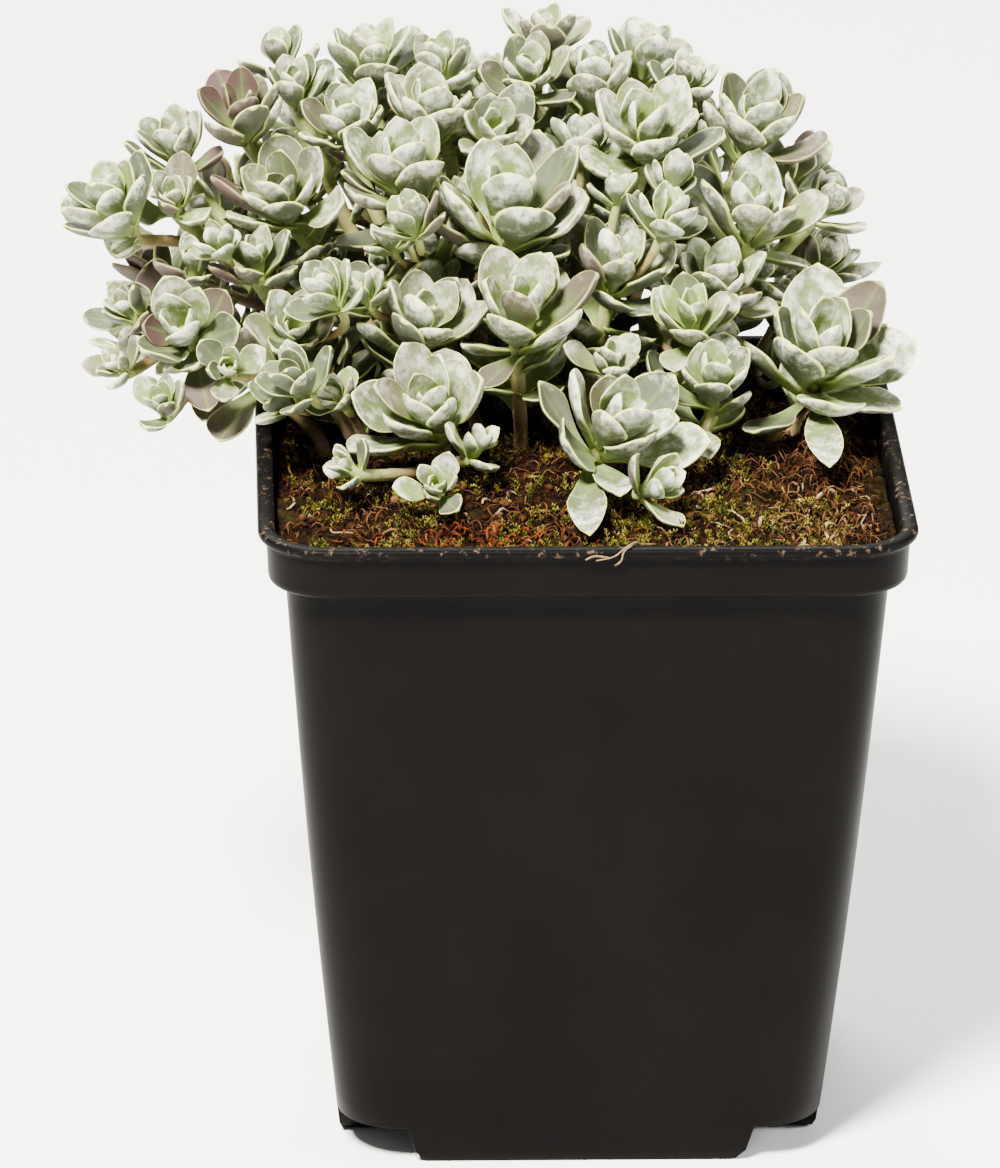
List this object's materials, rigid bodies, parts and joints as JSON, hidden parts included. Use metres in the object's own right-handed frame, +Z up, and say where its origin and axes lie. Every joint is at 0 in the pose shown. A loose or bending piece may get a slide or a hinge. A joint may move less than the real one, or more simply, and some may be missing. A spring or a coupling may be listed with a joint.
{
  "type": "potted sedum",
  "caption": "Small broad-leaved sedum with mealy grey-green rosettes, growing in peat in a square black plastic nursery pot.",
  "frame": {"origin": "centre of the pot's foot, on the surface that the pot stands on", "axes": "+Z up; +X to the right and +Y to the back of the pot as the picture sees it, square with the pot's sides"},
  "size_m": [0.1204, 0.1147, 0.1442],
  "materials": {
    "pot": "satin",
    "soil": "matte",
    "leaf": "matte"
  },
  "bodies": {
    "root": {"pot": "pot", "soil": "soil", "stem_back_left": "leaf", "stem_back_low": "leaf", "stem_back_low_right": "leaf", "stem_back_mid": "leaf", "stem_back_mid_left": "leaf", "stem_back_right": "leaf", "stem_centre_big": "leaf", "stem_centre_left": "leaf", "stem_far_corner": "leaf", "stem_far_left": "leaf", "stem_far_low_left": "leaf", "stem_front_left": "leaf", "stem_front_mid": "leaf", "stem_high_big": "leaf", "stem_high_right": "leaf", "stem_left_big": "leaf", "stem_left_far": "leaf", "stem_left_low": "leaf", "stem_left_mid": "leaf", "stem_left_purple": "leaf", "stem_left_up": "leaf", "stem_mid_front": "leaf", "stem_mid_low": "leaf", "stem_mid_right": "leaf", "stem_right_back": "leaf", "stem_right_big": "leaf", "stem_right_bright": "leaf", "stem_right_edge": "leaf", "stem_right_high": "leaf", "stem_right_low": "leaf", "stem_right_pale": "leaf", "stem_top_back": "leaf", "stem_top_broad": "leaf", "stem_top_centre": "leaf", "stem_top_cup": "leaf", "stem_top_left": "leaf", "stem_top_mid": "leaf", "stem_top_pair": "leaf", "stem_top_purple": "leaf", "stem_top_right": "leaf", "stem_top_tight": "leaf", "stem_top_wide": "leaf"}
  },
  "joints": []
}
